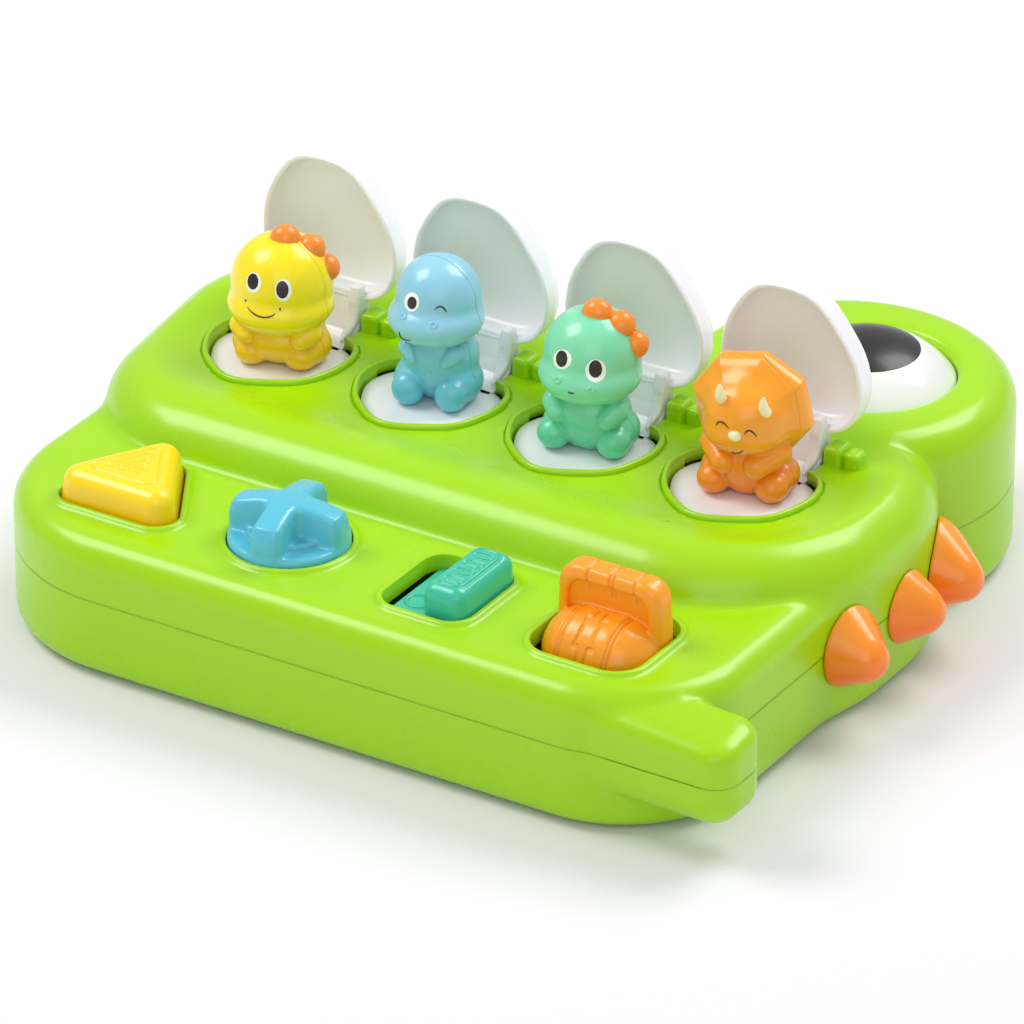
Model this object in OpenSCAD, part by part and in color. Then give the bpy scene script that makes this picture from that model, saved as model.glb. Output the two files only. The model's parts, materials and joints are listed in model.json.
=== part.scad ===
// Pop-up toy for babies: a rounded dinosaur-shaped case with four spring-up
// figures under lids, worked by four different buttons on a lower deck.
// Millimetres. +X runs along the row of lids, -Y is the front, +Z is up.
// Origin: middle of the bounding box, on the ground.

/* [Case] */
// Distance between neighbouring lids
pitch = 58; // [56:0.5:60]
// Height of the lid wells' rims above the ground
rim_z = 58.5; // [57:0.5:61]
// Height of the button deck above the ground
deck_z = 48.2; // [46:0.1:49]
// Height of the seam between the two case halves
seam_z = 28; // [27:0.5:29]
// Wall thickness of the case mouldings
wall = 2.4; // [2:0.1:2.8]
// Gap between the case and the ground, filled by the feet
foot_gap = 1; // [0.8:0.1:1.2]

/* [Lids] */
// Height of the hinge axis above the rims
hinge_up = 2.1; // [2:0.1:2.5]
// Distance of the hinge axis behind the wells' centres
hinge_y = 29; // [29:0.1:29.5]
// Depth of a lid's cap
cap_depth = 12; // [10:0.5:14]
// Diameter of the steel hinge pins
pin_d = 3; // [2.5:0.1:3]

/* [Buttons] */
// Distance of the buttons' centres in front of the wells' centres
button_y = 91; // [90:0.5:92]
// Sideways offset of each button from its lid
button_dx = 4; // [3.5:0.5:4.5]

/* [Hidden] */

$fn = 48;
eps = 0.05;
gap = 0.4;                       // clearance between moving mouldings

// The case is drawn round the middle of the row of wells; this puts the
// bounding box's middle over the origin.
origin_x = 6.3;
origin_y = 3.4;

green = [0.62, 0.84, 0.16];
white = [0.95, 0.95, 0.95];
teal = [0.25, 0.76, 0.63];
steel = [0.75, 0.76, 0.78];
orange = [0.98, 0.5, 0.08];
lid_x = [for (i = [0:3]) (i - 1.5) * pitch];
hinge_z = rim_z + hinge_up;

// Case outlines: [x, y, corner radius] of the discs that each slab wraps.
front_y = -126.3;
deck_left = -132;
deck_right = 136.6;
deck_corners = [
    [deck_left + 54, front_y + 54, 54], [deck_right - 44, front_y + 44, 44],
    [deck_right - 30, -25, 30], [deck_left + 30, -25, 30]
];
ridge_z = rim_z + 3.5;
ridge_corners = [
    [-87, -14.6, 50], [81, -4.6, 60], [81, 13, 60], [-94, 25, 48]
];
head_c = [78.6, 77.6];
head_r = 55.5;
head_z = rim_z + 6;
eye_c = [84.5, 81];
eye_r = 29.5;
eye_h = 15;
tail_x = [110, 154.6];
tail_y = [-124.5, -104];
tail_z = [12.7, 43];

// Outlines of the wells and the lids, round each well's centre: [x, y] of the discs that they wrap.
well_round = 8;
well_pts = [
    [-3, -18], [11.2, -10.2], [14.5, 1], [13, 8.5], [-1, 9.5], [-17, 8], [-19, 1], [-14, -9.5]
];
lid_round = 12;
lid_pts = [
    [-8, -15], [3, -14.8], [13.2, -0.5], [14.5, 7], [12.5, 10.5], [-11, 10.5], [-15, 7], [-14, -4]
];
plate_gap = 0.8;
plate_top = rim_z - 2.6;
plate_t = 2.2;
cap_wall = 1.8;
rim_lift = 1.8;                   // height of a closed lid's rim above the wells' rims
arm_x = [-8, 12.5];
arm_gap = 0.8;                    // room beside an arm
spring_room = 4;                  // room round a lid spring

boss_x = [[-23, -14.5], [13.5, 26]];
boss_r = 4.4;
pin_x = [-22, 25];
well_back = 17.5;                 // rear edge of the wells
well_lip = 1.6;                   // width of the raised rim of a well
lip_up = 1.2;
skirt_h = 8;                      // depth of the wells' walls
wall_end_y = 6;                   // behind this line the walls leave room for the plate
arm_top = hinge_z + 12;
dish_x = [-87, 87];
dish_mid_y = 4;
dish_r = 36;

// Buttons
lip_h = 1.6;
lip_w = 2;
triangle_pts = [[-14, -9.5], [14, -9.5], [0, 14.8]];
triangle_round = 7;
push_up = 11;
seat_z = 19;                      // height of the push spring's seat
round_hole_r = 20;
knob_R = 21;
knob_up = 17;
knob_floor = 3;
knob_arm = 9;
knob_turn = 8;
slide_hole = [31, 37];
slide_pts = [[-10.5, -13.5], [10.5, -13.5], [10.5, 13.5], [-10.5, 13.5]];
slide_round = 5;
slide_stem_x = 5.5;
flip_pts = [[-9.5, -9.5], [9.5, -9.5], [9.5, 9.5], [-9.5, 9.5]];
flip_round = 10;
slide_up = 9;
flip_z = deck_z - 4.2;
flip_r = 12;
flip_up = 25;
flip_pin_half = 22;
flip_half = 15.5;                 // half width of the barrel

// Eye
socket_z = rim_z - 8;
eye_sink = 4;                     // depth of the dome's edge below the head's top
eye_R = (eye_r * eye_r + eye_h * eye_h) / (2 * eye_h);
pupil_c = [85, 81];
pupil_r = 17;
pupil_z = rim_z;

// Spine spikes
spike_x = 139;
spike_y = [-21.5, 8.5, 37];
spike_z = 27;
spike_out = 15;
spike_r = 14;
stem_r = 4;                       // bore in the wall for a spike's stem
tip_r = 6.5;
crest_r = 4.8;
crest_angles = [-8, 32, 72];

// Latches, screws and feet
lever_z = 3.8;
lever_t = 2.4;
pivot_y = -40;
post_pin_r = 3;
tooth_y = 28;
post_r = 4;
screw_head_z = 4;
// [x, y, height of the post's top]
screw_xy = [
    [-113, -96, deck_z - 1], [-118, 40, rim_z - 1], [5, -117, deck_z - 1],
    [0, 62, rim_z - 1], [112, -108, deck_z - 1], [110, 112, rim_z - 9]
];
foot_xy = [[-115, -80], [-125, 25], [108, -92], [96, 106]];
foot_r = 7;

// ---------- shared shapes ----------

function arc(c, r, a0, a1, n) = [
    for (i = [0:n]) let (a = a0 + (a1 - a0) * i / n) c + r * [cos(a), sin(a)]
];

function unit_normal(p, q) = let (d = q - p) [d[1], -d[0]] / norm(d);

function turn(a0, a1) = a1 < a0 ? a1 + 360 : a1;

// The outline that a band of radius r makes round a convex list of points.
function rounded(pts, r, n = 6) = let (k = len(pts)) [
    for (i = [0:k - 1])
        let (
            before = unit_normal(pts[(i + k - 1) % k], pts[i]),
            after = unit_normal(pts[i], pts[(i + 1) % k]),
            a0 = atan2(before[1], before[0]),
            a1 = turn(a0, atan2(after[1], after[0]))
        )
        for (q = arc(pts[i], r, a0, a1, n)) q
];

// Half profile of a disc with rounded edges.
function disc_profile(r, z0, z1, top_r, low_r) = concat(
    [[0, z0]],
    arc([r - low_r, z0 + low_r], low_r, -90, 0, 3),
    arc([r - top_r, z1 - top_r], top_r, 0, 90, 5),
    [[0, z1]]
);

module soft_disc(r, z0, z1, top_r, low_r) {
    rotate_extrude($fn = 32) polygon(disc_profile(r, z0, z1, top_r, low_r));
}

// One convex slab wrapped round discs at the given corners.
module soft_slab(corners, z0, z1, top_r, low_r, inset = 0) {
    hull() for (c = corners)
        translate([c[0], c[1], 0])
            soft_disc(c[2] - inset, z0, z1, top_r, low_r);
}

module soft_box(x, y, z, r) {
    hull() for (i = x, j = y, k = z)
        translate([
            i == x[0] ? i + r : i - r, j == y[0] ? j + r : j - r, k == z[0] ? k + r : k - r
        ]) sphere(r, $fn = 16);
}

module well_outline(d = 0) {
    polygon(rounded(well_pts, well_round + d));
}

module lid_outline(d = 0) {
    polygon(rounded(lid_pts, lid_round + d));
}

module box(x, y, z) {
    translate([x[0], y[0], z[0]]) cube([x[1] - x[0], y[1] - y[0], z[1] - z[0]]);
}

module ring_tube(r_in, r_out, h) {
    difference() {
        cylinder(r = r_out, h = h);
        translate([0, 0, -1]) cylinder(r = r_in, h = h + 2);
    }
}

module along_x(x, y, z) {
    translate([x, y, z]) rotate([0, 90, 0]) children();
}

// An egg round the Z axis: radius r, half height h.
module egg(c, r, h) {
    translate(c) rotate_extrude()
        polygon([for (k = [0:12]) let (a = k * 15 - 90) [r * cos(a), h * sin(a)]]);
}

// ---------- case ----------

module case_outside(grow = 0) {
    soft_slab(deck_corners, foot_gap, deck_z, 9, 6, -grow);
    soft_slab(ridge_corners, foot_gap, ridge_z, 18, 6, -grow);
    translate(head_c) soft_disc(head_r + grow, foot_gap, head_z, 12, 6);
    soft_box(tail_x, tail_y, tail_z, 8);
}

module case_inside() {
    soft_slab(deck_corners, foot_gap + wall, deck_z - wall, 7, 4, wall);
    soft_slab(ridge_corners, foot_gap + wall, rim_z - wall, 13, 4, wall);
    translate(head_c) soft_disc(head_r - wall, foot_gap + wall, socket_z - wall, 8, 4);
}

module screw_post(p, z0, z1, bore) {
    translate([p[0], p[1], z0]) ring_tube(bore / 2, post_r, z1 - z0);
}

// The dished top between the ridges, with a sloped edge.
module dish() {
    for (x = [dish_x[0], dish_x[1]]) translate([x, dish_mid_y, rim_z])
        cylinder(r1 = dish_r, r2 = dish_r + 6, h = ridge_z - rim_z + eps);
    translate([dish_x[0], dish_mid_y, rim_z]) rotate([90, 0, 90])
        linear_extrude(dish_x[1] - dish_x[0]) polygon([
            [-dish_r, 0], [dish_r, 0],
            [dish_r + 6, ridge_z - rim_z + eps], [-dish_r - 6, ridge_z - rim_z + eps]
        ]);
}

// The arm's way through the top skin, behind each well.
module arm_slot(x) {
    z = [rim_z - 12, rim_z + 20];
    box([x + arm_x[0] - arm_gap, x + arm_x[1] + arm_gap], [0, hinge_y + 8], z);
    box([x + boss_x[0][1], x + arm_x[1]], [hinge_y - spring_room, hinge_y + spring_room], z);
}

module boss(x) {
    for (b = boss_x) difference() {
        union() {
            along_x(x + b[0], hinge_y, hinge_z) cylinder(r = boss_r, h = b[1] - b[0]);
            box([x + b[0], x + b[1]], [hinge_y - boss_r, hinge_y + boss_r], [rim_z - wall, hinge_z]);
        }
        along_x(x + b[0] - 1, hinge_y, hinge_z) cylinder(d = pin_d, h = b[1] - b[0] + 2);
    }
}

module button_hole(i) {
    x = lid_x[i] + button_dx;
    translate([x, -button_y, deck_z - 12]) linear_extrude(24)
        if (i == 0) polygon(rounded(triangle_pts, triangle_round + gap));
        else if (i == 2) square(slide_hole, center = true);
        else if (i == 3) polygon(rounded(flip_pts, flip_round));
        else circle(round_hole_r);
}

module button_lip(i) {
    x = lid_x[i] + button_dx;
    translate([x, -button_y, deck_z - eps]) linear_extrude(lip_h)
        if (i == 0) polygon(rounded(triangle_pts, triangle_round + gap + lip_w));
        else if (i == 2) polygon(rounded(slide_pts, slide_round + lip_w));
        else if (i == 3) polygon(rounded(flip_pts, flip_round + lip_w));
        else circle(round_hole_r + lip_w);
}

// Two lugs under the deck hold the flip lever's pin.
module flip_lugs() {
    x = lid_x[3] + button_dx;
    for (side = [-1, 1]) translate([x + side * (flip_pin_half - 1), -button_y, 0]) difference() {
        box([-1.5, 1.5], [-4, 4], [flip_z - 4, deck_z - wall + eps]);
        along_x(-3, 0, flip_z) cylinder(d = pin_d, h = 6);
    }
}

module spike_seat(y) {
    translate([spike_x, y, spike_z]) rotate([0, 90, 0]) cylinder(r = stem_r, h = 20, center = true);
}

module top_shell() {
    color(green) difference() {
        union() {
            difference() {
                case_outside();
                case_inside();
                dish();
            }
            for (x = lid_x) translate([x, 0, rim_z - skirt_h]) linear_extrude(skirt_h + lip_up)
                well_outline(well_lip);
            for (i = [0:3]) button_lip(i);
            for (p = screw_xy) screw_post(p, seam_z, p[2], 2.2);
        }
        box([-200, 200], [-200, 200], [-1, seam_z]);
        for (x = lid_x) translate([x, 0, rim_z - skirt_h - 1]) linear_extrude(skirt_h + 20)
            well_outline();
        for (x = lid_x) {
            arm_slot(x);
            box([x - 30, x + 26], [wall_end_y, hinge_y + 12], [rim_z - skirt_h - 1, rim_z - wall]);
        }
        for (i = [0:3]) button_hole(i);
        translate([eye_c[0], eye_c[1], socket_z]) cylinder(r = eye_r, h = 40);
        for (y = spike_y) spike_seat(y);
    }
    color(green) {
        for (x = lid_x) boss(x);
        flip_lugs();
    }
}

// A bracket beside the push button's stem, on which its spring stands.
module spring_seat() {
    translate([lid_x[0] + button_dx, -button_y, 0]) {
        box([6.5, 9.5], [-5, 5], [foot_gap + 1, seat_z]);
        translate([0, 0, seat_z - 2.5]) difference() {
            union() {
                cylinder(r = 6.5, h = 2.5);
                box([0, 9.5], [-5, 5], [0, 2.5]);
            }
            translate([0, 0, -1]) cylinder(r = 3.4, h = 5);
        }
    }
}

module bottom_shell() {
    color(green) difference() {
        union() {
            difference() {
                case_outside();
                case_inside();
            }
            for (p = screw_xy) screw_post(p, foot_gap + 1, seam_z, 3.2);
            for (x = lid_x) translate([x, pivot_y, foot_gap + 1]) cylinder(r = post_pin_r, h = 14);
            spring_seat();
        }
        box([-200, 200], [-200, 200], [seam_z, 100]);
        for (y = spike_y) spike_seat(y);
        for (p = screw_xy) translate([p[0], p[1], 0]) {
            cylinder(d = 7, h = screw_head_z);
            cylinder(d = 3.2, h = 10);
        }
        for (p = foot_xy) translate([p[0], p[1], 0]) cylinder(r = foot_r, h = foot_gap + 1);
    }
}

// ---------- lids and figures ----------

// Cap, arm and figure plate in one moulding, drawn with the lid closed
// and the cap on the rim, then swung up and open.
module popup_lid(i) {
    x = lid_x[i];
    color(white) difference() {
        union() {
            translate([x, hinge_y, hinge_z]) rotate([-90, 0, 0]) translate([0, -hinge_y, -hinge_z])
                lid_cap();
            translate([x, 0, plate_top - plate_t]) linear_extrude(plate_t)
                polygon(rounded(well_pts, well_round - plate_gap));
            translate([x, 0, 0]) lid_arm();
        }
        along_x(x + arm_x[0] - 1, hinge_y, hinge_z)
            cylinder(d = pin_d + 0.1, h = arm_x[1] - arm_x[0] + 2);
    }
}

module lid_cap() {
    z0 = rim_z + rim_lift;
    difference() {
        union() {
            translate([0, 0, z0]) linear_extrude(cap_depth - 4) lid_outline();
            translate([0, 0, z0 + cap_depth - 4]) cap_dome(4);
        }
        translate([0, 0, z0 - 1]) linear_extrude(cap_depth - 3) lid_outline(-cap_wall);
    }
}

// The dome is a stack of shrinking outlines, so that it stays exact.
module cap_dome(h) {
    steps = 4;
    for (k = [0:steps - 1])
        translate([0, 0, h * k / steps]) linear_extrude(h / steps + eps)
            lid_outline(-7 * (1 - sqrt(1 - pow((k + 1) / (steps + 1), 2))));
}

// The arm hooks round the hinge pin from the plate to the cap's back wall.
module lid_arm() {
    w = arm_x[1] - arm_x[0];
    along_x(arm_x[0], hinge_y, hinge_z) cylinder(r = 3.4, h = w);
    translate([arm_x[0], 0, 0]) rotate([90, 0, 90]) linear_extrude(w) polygon(concat(
        [[well_back - 4, plate_top - plate_t], [hinge_y - 5, plate_top - plate_t]],
        arc([hinge_y, hinge_z], 3.4, -60, 0, 6),
        [[hinge_y + 3.4, hinge_z + 6], [hinge_y + 2, arm_top], [hinge_y - 1.7, arm_top]],
        arc([hinge_y - 12, arm_top - 7], 9, 0, -60, 5)
    ));
}

// [centre, radius, half height] of the eggs that make each figure, round its
// foot point: head, cheeks, body, then one foot and one arm of each pair.
eggs = [
    [[[0, 0, 27.5], 17, 16.5], [[0, -1.5, 20.5], 17.6, 9.5], [[0, 1, 8.5], 14, 9.5]],
    [[[0, 0, 36], 14, 14], [[0, -2.5, 30], 15.6, 8.5], [[0, 1.5, 14], 11.5, 14.5]],
    [[[0, 0.5, 32.5], 15.8, 14.5], [[0, -2, 26], 16.6, 9], [[0, 0, 11], 12.5, 12.5]],
    [[[0, -1, 29], 16, 13], [[0, -3, 26], 16, 10.5], [[0, -1, 11], 11.5, 12.5]]
];
// [x, y, z, radius] of the right foot and the right arm.
feet = [[8.5, -7, 4.5, 6], [8.5, -6.5, 5.5, 6], [10, -7, 5, 6.3], [9.5, -6.5, 5, 6.3]];
arms = [[11.5, -7, 12, 4], [9, -4, 19, 3.8], [11, -6.5, 15.5, 4.4], [9.5, -7, 15, 4.8]];
frill = [[0, 5, 30.5], 20, 5.5];  // centre, radius and half depth of the frill
figure_wall = 2;                  // the figures are hollow mouldings
figure_x = -1.5;                  // the figures stand left of the wells' centres
figure_y = [1.5, 5, 4.5, 5.5];
figure_colors = ["gold", "skyblue", "mediumaquamarine", "orange"];

module figure_head(i) {
    for (k = [0, 1]) egg(eggs[i][k][0], eggs[i][k][1], eggs[i][k][2]);
}

module figure(i) {
    difference() {
        union() {
            figure_head(i);
            egg(eggs[i][2][0], eggs[i][2][1], eggs[i][2][2]);
            for (f = [feet[i], arms[i]], side = [-1, 1])
                translate([side * f[0], f[1], f[2]]) sphere(f[3]);
            if (i == 3) translate(frill[0]) rotate([90, 0, 0]) egg([0, 0, 0], frill[1], frill[2]);
        }
        box([-30, 30], [-30, 30], [-20, 0]);
        for (k = [0, 2]) egg(eggs[i][k][0], eggs[i][k][1] - figure_wall, eggs[i][k][2] - figure_wall);
    }
}

// The figures are moulded in two halves that meet on the seam plane.
module figure_half(i, front) {
    color(figure_colors[i]) translate([lid_x[i] + figure_x, figure_y[i], plate_top]) difference() {
        figure(i);
        box([-30, 30], front ? [-0.02, 30] : [-30, 0.02], [-1, 60]);
    }
}

// Three lumps that follow the top of the head from front to back.
module crest(i) {
    head = eggs[i][0];
    color(orange) translate([lid_x[i] + figure_x, figure_y[i], plate_top]) difference() {
        for (a = crest_angles)
            translate(head[0] + [0, sin(a) * head[1], cos(a) * head[2]]) sphere(crest_r);
        for (k = [0, 1]) egg(eggs[i][k][0], eggs[i][k][1] + eps, eggs[i][k][2] + eps);
    }
}

module hinge_pin(i) {
    color(steel) along_x(lid_x[i] + pin_x[0], hinge_y, hinge_z)
        cylinder(d = pin_d - 0.06, h = pin_x[1] - pin_x[0]);
}

module lid_spring(i) {
    color(steel) along_x(lid_x[i] + boss_x[0][1] + 0.5, hinge_y, hinge_z)
        ring_tube(pin_d / 2 + 0.4, pin_d / 2 + 1.3, arm_x[0] - boss_x[0][1] - 1);
}

// ---------- eye, spine ----------

module eye_sphere() {
    translate([eye_c[0], eye_c[1], head_z - eye_sink + eye_h - eye_R]) sphere(eye_R, $fn = 96);
}

module eye_ball() {
    color(white) difference() {
        intersection() {
            eye_sphere();
            translate([eye_c[0], eye_c[1], socket_z]) cylinder(r = eye_r - 0.3, h = 40);
        }
        translate([pupil_c[0], pupil_c[1], pupil_z]) cylinder(r = pupil_r, h = 30);
    }
}

module eye_pupil() {
    color([0.15, 0.15, 0.16]) intersection() {
        eye_sphere();
        translate([pupil_c[0], pupil_c[1], pupil_z + 0.05]) cylinder(r = pupil_r - 0.1, h = 30);
    }
}

module spine_spike(i) {
    y = spike_y[i];
    color(orange) translate([spike_x, y, spike_z]) {
        rotate([0, 90, 0]) cylinder(r = stem_r - 0.3, h = 14, center = true);
        difference() {
            hull() {
                translate([-13, 0, 0]) rotate([0, 90, 0]) cylinder(r = spike_r, h = 10, $fn = 32);
                translate([spike_out - tip_r, 0, 1]) sphere(tip_r, $fn = 24);
            }
            translate([-spike_x, -y, -spike_z]) case_outside(eps);
        }
    }
}

// ---------- buttons ----------

module push_button() {
    translate([lid_x[0] + button_dx, -button_y, 0]) color("gold") {
        translate([0, 0, deck_z - 8]) linear_extrude(push_up + 8 - 2)
            polygon(rounded(triangle_pts, triangle_round));
        translate([0, 0, deck_z + push_up - 2 - eps]) linear_extrude(2)
            polygon(rounded(triangle_pts, triangle_round - 2));
        translate([0, 0, deck_z - 8 - 2]) linear_extrude(2)
            polygon(rounded(triangle_pts, triangle_round + 2));
        translate([0, 0, lever_z + 8]) cylinder(r = 3, h = deck_z - 8 - lever_z - 8);
    }
}

module push_spring() {
    color(steel) translate([lid_x[0] + button_dx, -button_y, seat_z])
        ring_tube(3.6, 4.6, deck_z - 10 - seat_z);
}

module rotary_knob() {
    translate([lid_x[1] + button_dx, -button_y, 0]) color("deepskyblue") {
        translate([0, 0, deck_z - 6]) cylinder(r = round_hole_r - gap, h = 6 + knob_floor);
        translate([0, 0, deck_z - 8]) cylinder(r = round_hole_r + 2, h = 2 + eps);
        intersection() {
            translate([0, 0, deck_z + knob_up - knob_R]) sphere(knob_R, $fn = 96);
            translate([0, 0, deck_z]) cylinder(r = round_hole_r - gap, h = 30);
            rotate(knob_turn) union() {
                box([-30, 30], [-knob_arm / 2, knob_arm / 2], [deck_z, 90]);
                box([-knob_arm / 2, knob_arm / 2], [-30, 30], [deck_z, 90]);
            }
        }
        translate([0, 0, lever_z + 8]) cylinder(r = 4, h = deck_z - 8 - lever_z - 8);
    }
}

module slide_button() {
    translate([lid_x[2] + button_dx, -button_y, 0]) color(teal) {
        box([-12, 26], [-20.5, 18], [deck_z - 6, deck_z - 3.4]);
        box([0.5, 15], [-16, 15.5], [deck_z - 4, deck_z + slide_up]);
        translate([-6, -6, deck_z - 3.5]) ring_tube(3.5, 4.5, 0.6);
        translate([slide_stem_x, 0, lever_z + 8]) cylinder(r = 3, h = deck_z - 6 - lever_z - 8);
    }
}

module flip_lever() {
    translate([lid_x[3] + button_dx, -button_y, flip_z]) color("orange") difference() {
        union() {
            translate([-flip_half, 0, 0]) rotate([0, 90, 0])
                cylinder(r = flip_r, h = 2 * flip_half);
            difference() {
                translate([0, 9, 0]) rotate([90, 0, 0]) linear_extrude(9) hull() {
                    translate([-12.5, flip_up - 7]) circle(6);
                    translate([12.5, flip_up - 7]) circle(6);
                    square([34, 2], center = true);
                }
                translate([0, -flip_r - 7, flip_up - 4]) rotate([0, 90, 0])
                    cylinder(r = 8, h = 60, center = true);
            }
        }
        rotate([0, 90, 0]) cylinder(d = pin_d + 0.1, h = 60, center = true);
    }
}

module flip_pin() {
    color(steel) along_x(lid_x[3] + button_dx - flip_pin_half, -button_y, flip_z)
        cylinder(d = pin_d - 0.06, h = 2 * flip_pin_half);
}

// ---------- latches ----------

// A flat lever under each lid: its front end is pushed by the button, and
// its rear tooth holds the closed lid's plate.
module latch_lever(i) {
    x = lid_x[i];
    color("silver") translate([x, 0, lever_z]) difference() {
        union() {
            box([-4, 4], [-button_y - 3, tooth_y], [0, lever_t]);
            translate([0, pivot_y, 0]) cylinder(r = 7, h = lever_t);
            box([-4, -1.5], [-button_y - 3, -button_y + 7], [0, 12]);
            box([-4, 4], [tooth_y - 3, tooth_y], [0, lever_t + 0.3]);
        }
        translate([0, pivot_y, -1]) cylinder(r = post_pin_r + 0.05, h = lever_t + 2);
    }
}

module latch_spring(i) {
    color(steel) translate([lid_x[i], pivot_y, lever_z + lever_t + 0.3])
        ring_tube(post_pin_r + 0.3, post_pin_r + 1.3, 5);
}

// ---------- fasteners and feet ----------

module case_screws() {
    color(steel) for (p = screw_xy) translate([p[0], p[1], screw_head_z - 0.05]) {
        translate([0, 0, -2.2]) cylinder(r = 2.8, h = 2.2);
        translate([0, 0, -eps]) cylinder(r = 1.05, h = 32);
    }
}

module rubber_feet() {
    color("dimgray") for (p = foot_xy) translate([p[0], p[1], 0])
        cylinder(r = foot_r - 0.05, h = foot_gap + 1 - 0.02);
}

// ---------- what is drawn ----------

module placed() {
    translate([-origin_x, -origin_y, 0]) children();
}

placed() top_shell();
placed() bottom_shell();
placed() eye_ball();
placed() eye_pupil();
for (i = [0:2]) placed() spine_spike(i);
for (i = [0:3]) placed() popup_lid(i);
for (i = [0:3]) placed() figure_half(i, true);
for (i = [0:3]) placed() figure_half(i, false);
for (i = [0, 2]) placed() crest(i);
for (i = [0:3]) placed() hinge_pin(i);
for (i = [0:3]) placed() lid_spring(i);
placed() push_button();
placed() push_spring();
placed() rotary_knob();
placed() slide_button();
placed() flip_lever();
placed() flip_pin();
for (i = [0:3]) placed() latch_lever(i);
for (i = [0:3]) placed() latch_spring(i);
placed() case_screws();
placed() rubber_feet();
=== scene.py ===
"""Pop-up toy for babies: a green dinosaur-shaped case with four spring-up figures under white
lids, worked by four different buttons.

Shapes are worked out in millimetres in the plan frame (middle of the row of wells at 0, 0; ground
at z = 0) and moved to the row frame, in metres, when their mesh is made.
"""

import json
import math

import bmesh
import bpy
import numpy as np
import openvdb
from mathutils import Matrix, Vector
from mathutils.bvhtree import BVHTree

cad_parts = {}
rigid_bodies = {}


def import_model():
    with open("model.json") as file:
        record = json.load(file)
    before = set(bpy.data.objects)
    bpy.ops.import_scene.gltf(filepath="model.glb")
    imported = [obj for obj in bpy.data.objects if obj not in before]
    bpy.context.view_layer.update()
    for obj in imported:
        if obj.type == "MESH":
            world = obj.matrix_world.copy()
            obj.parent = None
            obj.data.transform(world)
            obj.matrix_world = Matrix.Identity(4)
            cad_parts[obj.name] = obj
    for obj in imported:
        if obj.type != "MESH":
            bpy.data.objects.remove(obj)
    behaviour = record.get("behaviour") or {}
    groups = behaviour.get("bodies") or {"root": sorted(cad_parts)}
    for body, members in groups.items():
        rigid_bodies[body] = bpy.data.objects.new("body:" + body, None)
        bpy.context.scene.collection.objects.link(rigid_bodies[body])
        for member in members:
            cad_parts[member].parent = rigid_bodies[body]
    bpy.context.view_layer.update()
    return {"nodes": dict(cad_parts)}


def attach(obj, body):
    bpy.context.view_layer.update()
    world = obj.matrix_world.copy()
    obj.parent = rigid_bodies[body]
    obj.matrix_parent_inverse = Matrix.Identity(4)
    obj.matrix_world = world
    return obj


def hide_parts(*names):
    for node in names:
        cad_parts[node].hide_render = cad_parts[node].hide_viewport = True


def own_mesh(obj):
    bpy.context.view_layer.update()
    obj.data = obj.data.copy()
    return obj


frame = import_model()

MM = 0.001
ORIGIN = np.array([6.3, 3.4, 0.0])        # plan point that stands over the row frame's origin

# ---------- driving sizes, in mm ----------

PITCH = 58
RIM_Z = 58.5                              # top of the lid wells
DECK_Z = 48.2                             # button deck
SEAM_Z = 28                               # seam between the case halves
SEAM_HALF_GAP = 0.12
WALL = 2.4
FOOT_GAP = 1
LID_X = [(i - 1.5) * PITCH for i in range(4)]
HINGE_Y = 29
HINGE_Z = RIM_Z + 2.1
PIN_HOLE_R = 1.55
PLATE_TOP = RIM_Z - 2.6
PLATE_T = 2.2

FRONT_Y = -126.3
DECK_LEFT = -132
DECK_RIGHT = 136.6
DECK_DISCS = [(DECK_LEFT + 54, FRONT_Y + 54, 54), (DECK_RIGHT - 44, FRONT_Y + 44, 44),
              (DECK_RIGHT - 30, -25, 30), (DECK_LEFT + 30, -25, 30)]
DECK_ROUND = (9, 6)                       # radii of the upper and the lower edge
RIDGE_Z = RIM_Z + 3.5
RIDGE_DISCS = [(-87, -14.6, 50), (81, -4.6, 60), (81, 13, 60), (-94, 25, 48)]
RIDGE_ROUND = (18, 6)
DISH_HALF = 87                            # the dished floor round the wells: half its length,
DISH_Y = 4                                # its middle, its radius, and how far its sides run
DISH_R = 37                               # out for each mm up
DISH_SLOPE = 1.6
DISH_COSINE = 0.53                        # of that slope, so that the sides give a true distance
HEAD = (78.6, 77.6, 55.5)
HEAD_Z = RIM_Z + 6
HEAD_ROUND = (12, 6)
EYE = (84.5, 81, 29.5)
EYE_H = 15
PUPIL = (85, 81, 17)
SOCKET_Z = RIM_Z - 8

WELL_POINTS = [(-3, -18), (11.2, -10.2), (14.5, 1), (13, 8.5), (-1, 9.5), (-17, 8), (-19, 1), (-14, -9.5)]
WELL_ROUND = 8
LID_POINTS = [(-8, -14.2), (2.4, -14), (12.4, -0.5), (13.7, 7), (12, 10.5), (-11, 10.5), (-15, 7), (-14, -4)]
LID_ROUND = 12
RIM_LIFT = 1.8
CAP_DEPTH = 12
ARM_X = (-8, 12.5)
BOSSES = [(-23, -14.5, 4.4), (13.5, 20, 4.4), (20.4, 26, 3.5)]    # ends along X, radius

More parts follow.
